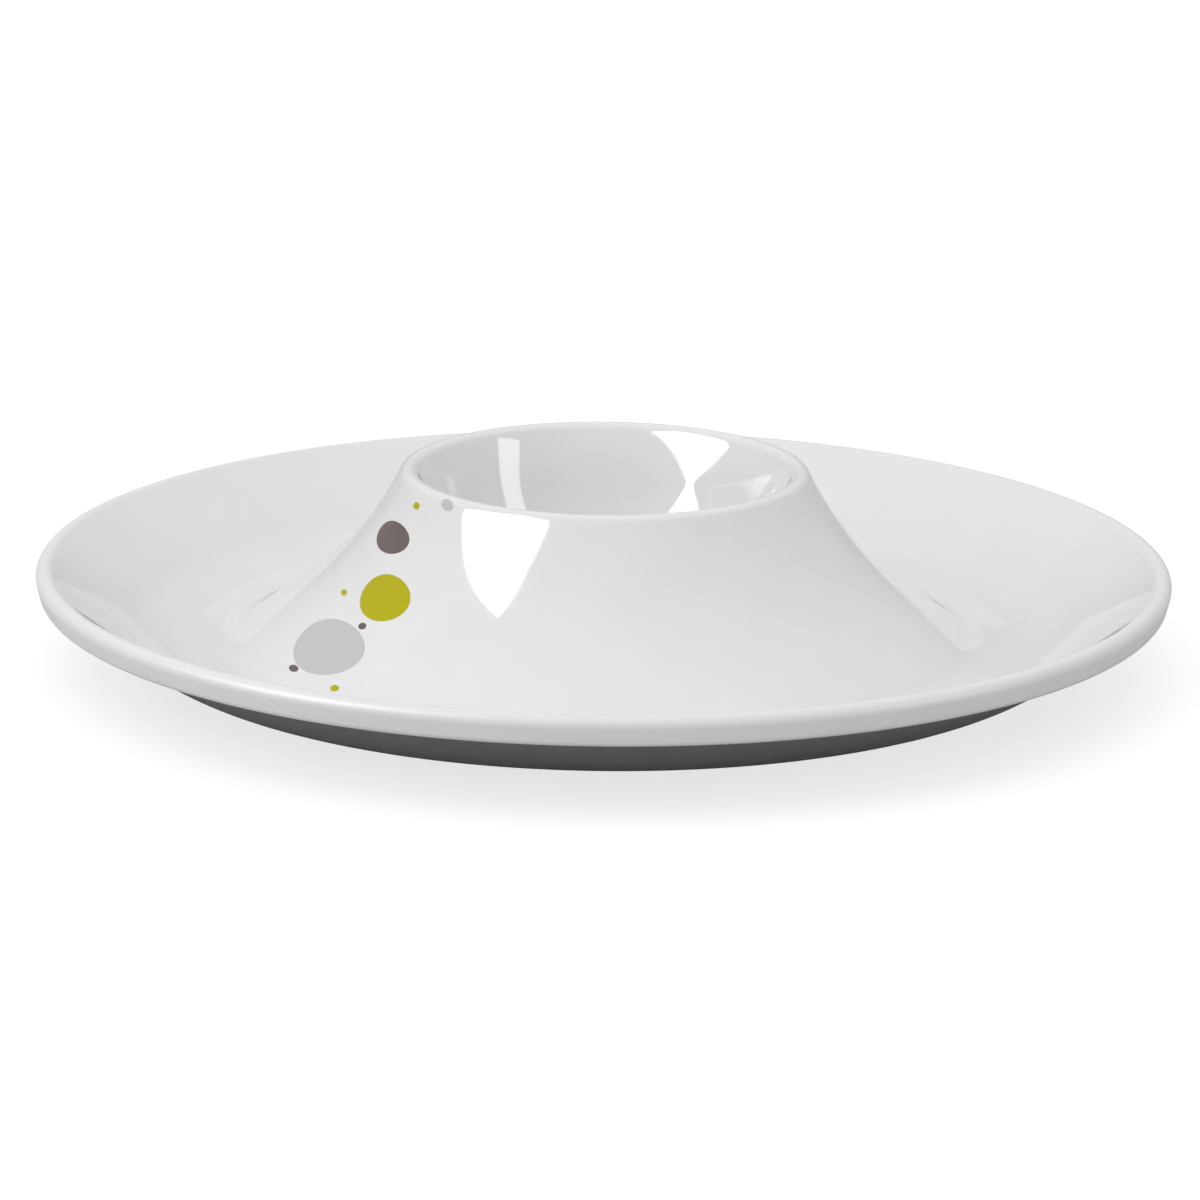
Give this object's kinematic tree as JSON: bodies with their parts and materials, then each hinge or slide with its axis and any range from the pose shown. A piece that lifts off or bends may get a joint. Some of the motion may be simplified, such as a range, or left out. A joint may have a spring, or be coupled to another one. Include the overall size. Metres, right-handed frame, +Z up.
{
  "type": "chip and dip server",
  "caption": "Round chip and dip server with a raised dip well in a shallow chip tray, white over a dark underside, with a small trail of printed dots",
  "frame": {"origin": "centre of the foot ring, on the surface it stands on", "axes": "+Z up, the axis that the server is turned about; -Y is the front, and the printed dots are at the front left, between -X and -Y"},
  "size_m": [0.33, 0.33, 0.0568],
  "materials": {
    "melamine_white": "high-gloss moulded melamine, neutral white",
    "melamine_charcoal": "satin moulded melamine, neutral dark grey",
    "print_grey": "light grey print under the melamine gloss",
    "print_green": "yellow-green print under the melamine gloss",
    "print_taupe": "warm dark grey print under the melamine gloss"
  },
  "bodies": {
    "root": {"upper_shell": "melamine_white", "under_shell": "melamine_charcoal", "print_dot_grey_large": "print_grey", "print_dot_green_large": "print_green", "print_dot_taupe_large": "print_taupe", "print_dot_grey_small": "print_grey", "print_dot_taupe_outer": "print_taupe", "print_dot_taupe_inner": "print_taupe", "print_dot_green_upper": "print_green", "print_dot_green_middle": "print_green", "print_dot_green_lower": "print_green"}
  },
  "joints": []
}
